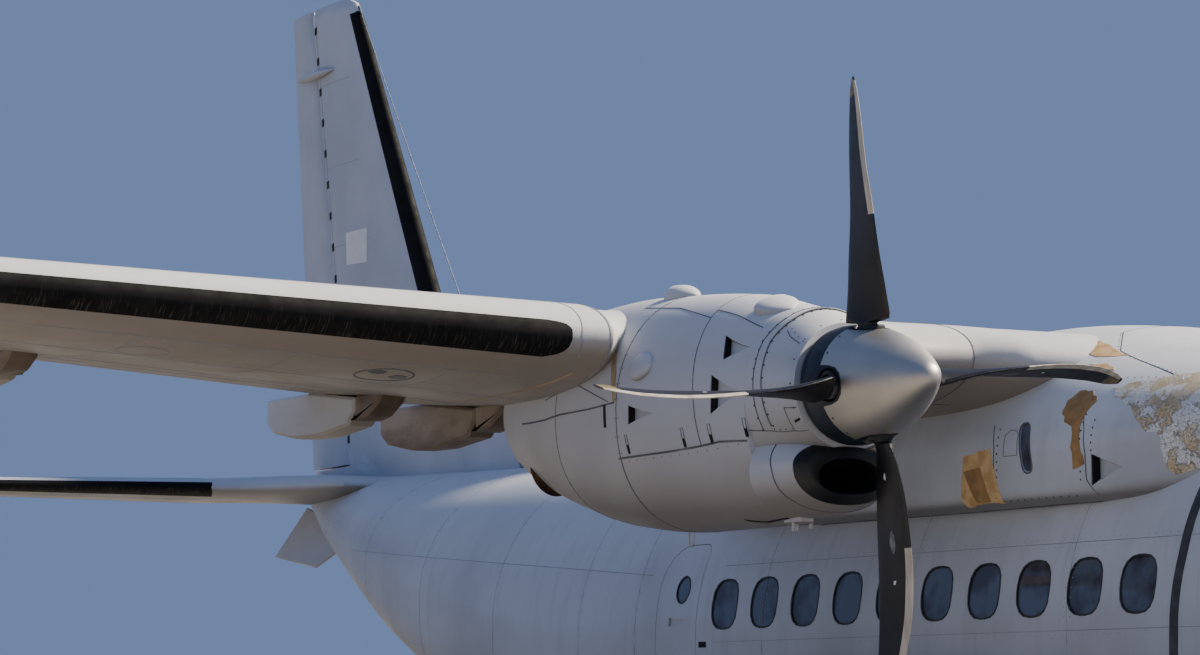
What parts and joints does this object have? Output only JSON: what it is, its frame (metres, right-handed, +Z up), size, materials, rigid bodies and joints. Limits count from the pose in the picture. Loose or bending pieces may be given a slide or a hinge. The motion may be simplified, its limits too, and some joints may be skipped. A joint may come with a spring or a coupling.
{
  "type": "twin turboprop transport aircraft",
  "caption": "High-wing turboprop aircraft on its gear, with turning propellers and wheels, hinged control surfaces, flaps, loading ramp and rear door.",
  "frame": {"origin": "ground level under the middle of the aircraft's overall box, on the plane of symmetry of the airframe", "axes": "+X towards the nose, +Y towards the port (left) wing tip, +Z up"},
  "size_m": [21.4, 25.81, 8.177],
  "materials": {
    "paint": "weathered light grey paint on riveted aluminium skin",
    "radome": "grey painted glass fibre",
    "fairing": "peeling light grey paint over tan primer",
    "control_skin": "light grey paint on bonded composite skin",
    "glazing": "dark laminated glass",
    "blade": "satin charcoal composite blade with a metal leading edge",
    "spinner_metal": "bare satin spun aluminium",
    "engine_metal": "heat-stained metal",
    "gear_steel": "painted steel with bright chrome sliders",
    "tyre": "worn black rubber",
    "wheel_alloy": "painted cast alloy"
  },
  "bodies": {
    "airframe": {"radome": "radome", "fuselage_front": "paint", "fuselage_centre": "paint", "fuselage_rear": "paint", "windscreen": "glazing", "wing_fairing": "fairing", "wing_centre": "paint", "fin": "paint", "nose_leg": "gear_steel", "wing_left": "paint", "nose_cowl_left": "paint", "cowl_left": "paint", "nacelle_rear_left": "paint", "engine_left": "engine_metal", "tailplane_left": "paint", "ventral_fin_left": "paint", "sponson_left": "paint", "main_gear_left": "gear_steel", "side_door_left": "paint", "wing_right": "paint", "nose_cowl_right": "paint", "cowl_right": "paint", "nacelle_rear_right": "paint", "engine_right": "engine_metal", "tailplane_right": "paint", "ventral_fin_right": "paint", "sponson_right": "paint", "main_gear_right": "gear_steel", "side_door_right": "paint"},
    "propeller_left_body": {"propeller_left": "blade", "spinner_left": "spinner_metal"},
    "propeller_right_body": {"propeller_right": "blade", "spinner_right": "spinner_metal"},
    "nose_fork_body": {"nose_fork": "gear_steel"},
    "nose_wheel_body": {"nose_tyre": "tyre", "nose_wheel": "wheel_alloy"},
    "main_front_left_body": {"main_front_left_tyre": "tyre", "main_front_left_wheel": "wheel_alloy"},
    "main_front_right_body": {"main_front_right_tyre": "tyre", "main_front_right_wheel": "wheel_alloy"},
    "main_rear_left_body": {"main_rear_left_tyre": "tyre", "main_rear_left_wheel": "wheel_alloy"},
    "main_rear_right_body": {"main_rear_right_tyre": "tyre", "main_rear_right_wheel": "wheel_alloy"},
    "rudder_body": {"rudder": "paint"},
    "flap_inner_left_body": {"flap_inner_left": "paint"},
    "flap_inner_right_body": {"flap_inner_right": "paint"},
    "flap_outer_left_body": {"flap_outer_left": "paint"},
    "flap_outer_right_body": {"flap_outer_right": "paint"},
    "aileron_left_body": {"aileron_left": "control_skin"},
    "aileron_right_body": {"aileron_right": "control_skin"},
    "elevator_left_body": {"elevator_left": "control_skin"},
    "elevator_right_body": {"elevator_right": "control_skin"},
    "ramp_body": {"ramp": "paint"},
    "rear_door_body": {"rear_door": "paint"}
  },
  "joints": [
    {"name": "propeller_left_spin", "type": "hinge", "parent": "airframe", "child": "propeller_left_body", "pos_m": [5.05, 3.5, 3.355], "axis": [1, 0, 0], "continuous": true},
    {"name": "propeller_right_spin", "type": "hinge", "parent": "airframe", "child": "propeller_right_body", "pos_m": [5.05, -3.5, 3.355], "axis": [1, 0, 0], "continuous": true},
    {"name": "nose_steer", "type": "hinge", "parent": "airframe", "child": "nose_fork_body", "pos_m": [8.82, 0, 0.7], "axis": [0, 0, 1], "range_deg": [-48, 48]},
    {"name": "nose_roll", "type": "hinge", "parent": "nose_fork_body", "child": "nose_wheel_body", "pos_m": [8.82, 0, 0.305], "axis": [0, 1, 0], "continuous": true},
    {"name": "main_front_left_roll", "type": "hinge", "parent": "airframe", "child": "main_front_left_body", "pos_m": [2.375, 1.95, 0.3555], "axis": [0, 1, 0], "continuous": true},
    {"name": "main_front_right_roll", "type": "hinge", "parent": "airframe", "child": "main_front_right_body", "pos_m": [2.375, -1.95, 0.3555], "axis": [0, 1, 0], "continuous": true},
    {"name": "main_rear_left_roll", "type": "hinge", "parent": "airframe", "child": "main_rear_left_body", "pos_m": [1.425, 1.95, 0.3555], "axis": [0, 1, 0], "continuous": true},
    {"name": "main_rear_right_roll", "type": "hinge", "parent": "airframe", "child": "main_rear_right_body", "pos_m": [1.425, -1.95, 0.3555], "axis": [0, 1, 0], "continuous": true},
    {"name": "rudder_turn", "type": "hinge", "parent": "airframe", "child": "rudder_body", "pos_m": [-9.27, 0, 3.85], "axis": [-0.2313, 0, 0.9729], "range_deg": [-25, 25]},
    {"name": "flap_inner_left_drop", "type": "hinge", "parent": "airframe", "child": "flap_inner_left_body", "pos_m": [0.75, 2.85, 3.33025], "axis": [0, -1, 0], "range_deg": [0, 23]},
    {"name": "flap_inner_right_drop", "type": "hinge", "parent": "airframe", "child": "flap_inner_right_body", "pos_m": [0.75, -2.85, 3.33025], "axis": [0, -1, 0], "range_deg": [0, 23]},
    {"name": "flap_outer_left_drop", "type": "hinge", "parent": "airframe", "child": "flap_outer_left_body", "pos_m": [0.75, 4.1, 3.33025], "axis": [-0.0464, -0.996, -0.0767], "range_deg": [0, 23]},
    {"name": "flap_outer_right_drop", "type": "hinge", "parent": "airframe", "child": "flap_outer_right_body", "pos_m": [0.75, -4.1, 3.33025], "axis": [0.0464, -0.996, 0.0767], "range_deg": [0, 23]},
    {"name": "aileron_left_turn", "type": "hinge", "parent": "airframe", "child": "aileron_left_body", "pos_m": [1.06115, 8.72, 3.88506], "axis": [0.037, 0.9976, 0.0579], "range_deg": [-20, 20]},
    {"name": "aileron_right_turn", "type": "hinge", "parent": "airframe", "child": "aileron_right_body", "pos_m": [1.06115, -8.72, 3.88506], "axis": [-0.037, 0.9976, -0.0579], "range_deg": [-20, 20]},
    {"name": "elevator_left_turn", "type": "hinge", "parent": "airframe", "child": "elevator_left_body", "pos_m": [-9.96, 0.47, 3.57], "axis": [-0.0397, 0.9992, 0], "range_deg": [-15, 25]},
    {"name": "elevator_right_turn", "type": "hinge", "parent": "airframe", "child": "elevator_right_body", "pos_m": [-9.96, -0.47, 3.57], "axis": [0.0397, 0.9992, 0], "range_deg": [-15, 25]},
    {"name": "ramp_lower", "type": "hinge", "parent": "airframe", "child": "ramp_body", "pos_m": [-2.565, 0, 0.965], "axis": [0, -1, 0], "range_deg": [0, 35]},
    {"name": "rear_door_raise", "type": "hinge", "parent": "airframe", "child": "rear_door_body", "pos_m": [-7.645, 0, 2.845], "axis": [0, -1, 0], "range_deg": [0, 20]}
  ],
  "couplings": [
    {"joint": "flap_inner_right_drop", "follows": "flap_inner_left_drop", "ratio": 1},
    {"joint": "flap_outer_left_drop", "follows": "flap_inner_left_drop", "ratio": 1},
    {"joint": "flap_outer_right_drop", "follows": "flap_inner_left_drop", "ratio": 1},
    {"joint": "aileron_right_turn", "follows": "aileron_left_turn", "ratio": -1},
    {"joint": "elevator_right_turn", "follows": "elevator_left_turn", "ratio": 1}
  ]
}
